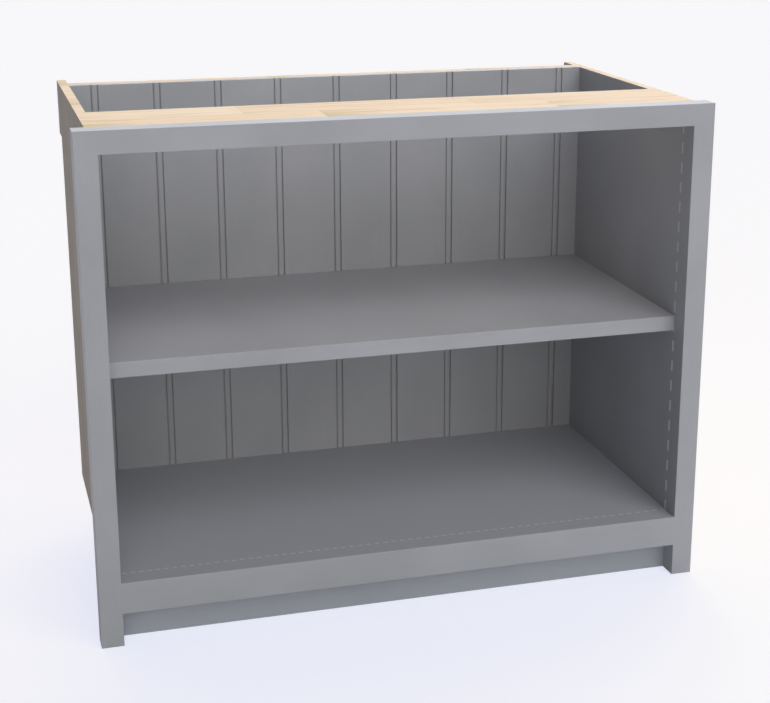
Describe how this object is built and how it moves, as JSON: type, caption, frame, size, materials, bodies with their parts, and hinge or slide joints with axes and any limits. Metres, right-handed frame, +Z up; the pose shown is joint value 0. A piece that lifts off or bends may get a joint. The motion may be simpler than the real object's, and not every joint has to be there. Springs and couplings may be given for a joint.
{
  "type": "open-fronted kitchen base unit",
  "caption": "Open-fronted kitchen base unit with a painted face frame, a shelf that slides out, a beaded board back, an open top and screw-adjusted rear feet.",
  "frame": {"origin": "on the floor, under the middle of the unit's outer box", "axes": "+X to the right seen from the front, +Y from the front to the wall, +Z up"},
  "size_m": [1, 0.56, 0.808],
  "materials": {
    "grey_paint": "satin grey eggshell paint over wood",
    "side_board": "stave board, painted satin grey inside and left bare outside and on its edges",
    "stave_board": "bare pale edge-glued stave board",
    "beech_dowel": "bare beech",
    "bright_steel": "bright drawn wire",
    "zinc_screw": "zinc plated",
    "black_plastic": "moulded, matt"
  },
  "bodies": {
    "carcase": {"left_stile": "grey_paint", "right_stile": "grey_paint", "frame_top_rail": "grey_paint", "frame_bottom_rail": "grey_paint", "plinth_board": "grey_paint", "base_panel": "grey_paint", "left_side_panel": "side_board", "right_side_panel": "side_board", "top_stretcher": "stave_board", "back_rail_top": "stave_board", "back_rail_bottom": "stave_board", "left_shelf_wire": "bright_steel", "right_shelf_wire": "bright_steel", "carcase_dowels": "beech_dowel", "frame_dowels": "beech_dowel", "back_board_screws": "zinc_screw", "plinth_screws": "zinc_screw", "leg_screws": "zinc_screw", "left_leg_bracket": "black_plastic", "right_leg_bracket": "black_plastic", "back_board_01": "grey_paint", "back_board_02": "grey_paint", "back_board_03": "grey_paint", "back_board_04": "grey_paint", "back_board_05": "grey_paint", "back_board_06": "grey_paint", "back_board_07": "grey_paint", "back_board_08": "grey_paint", "back_board_09": "grey_paint", "back_board_10": "grey_paint"},
    "shelf": {"shelf": "grey_paint"},
    "left_foot": {"left_foot_pad": "black_plastic"},
    "left_foot_rod": {"left_foot_screw": "zinc_screw"},
    "right_foot": {"right_foot_pad": "black_plastic"},
    "right_foot_rod": {"right_foot_screw": "zinc_screw"}
  },
  "joints": [
    {"name": "shelf_slide", "type": "slide", "parent": "carcase", "child": "shelf", "axis": [0, -1, 0], "range_m": [0, 0.49]},
    {"name": "left_foot_height", "type": "slide", "parent": "carcase", "child": "left_foot", "axis": [0, 0, 1], "range_m": [-0.015, 0.015]},
    {"name": "left_foot_turn", "type": "hinge", "parent": "left_foot", "child": "left_foot_rod", "pos_m": [-0.405, 0.14, 0.045], "axis": [0, 0, 1], "range_deg": [-3600, 3600]},
    {"name": "right_foot_height", "type": "slide", "parent": "carcase", "child": "right_foot", "axis": [0, 0, 1], "range_m": [-0.015, 0.015]},
    {"name": "right_foot_turn", "type": "hinge", "parent": "right_foot", "child": "right_foot_rod", "pos_m": [0.405, 0.14, 0.045], "axis": [0, 0, 1], "range_deg": [-3600, 3600]}
  ],
  "couplings": [
    {"joint": "left_foot_turn", "follows": "left_foot_height", "rad_per_m": 4188.8},
    {"joint": "right_foot_turn", "follows": "right_foot_height", "rad_per_m": 4188.8}
  ]
}
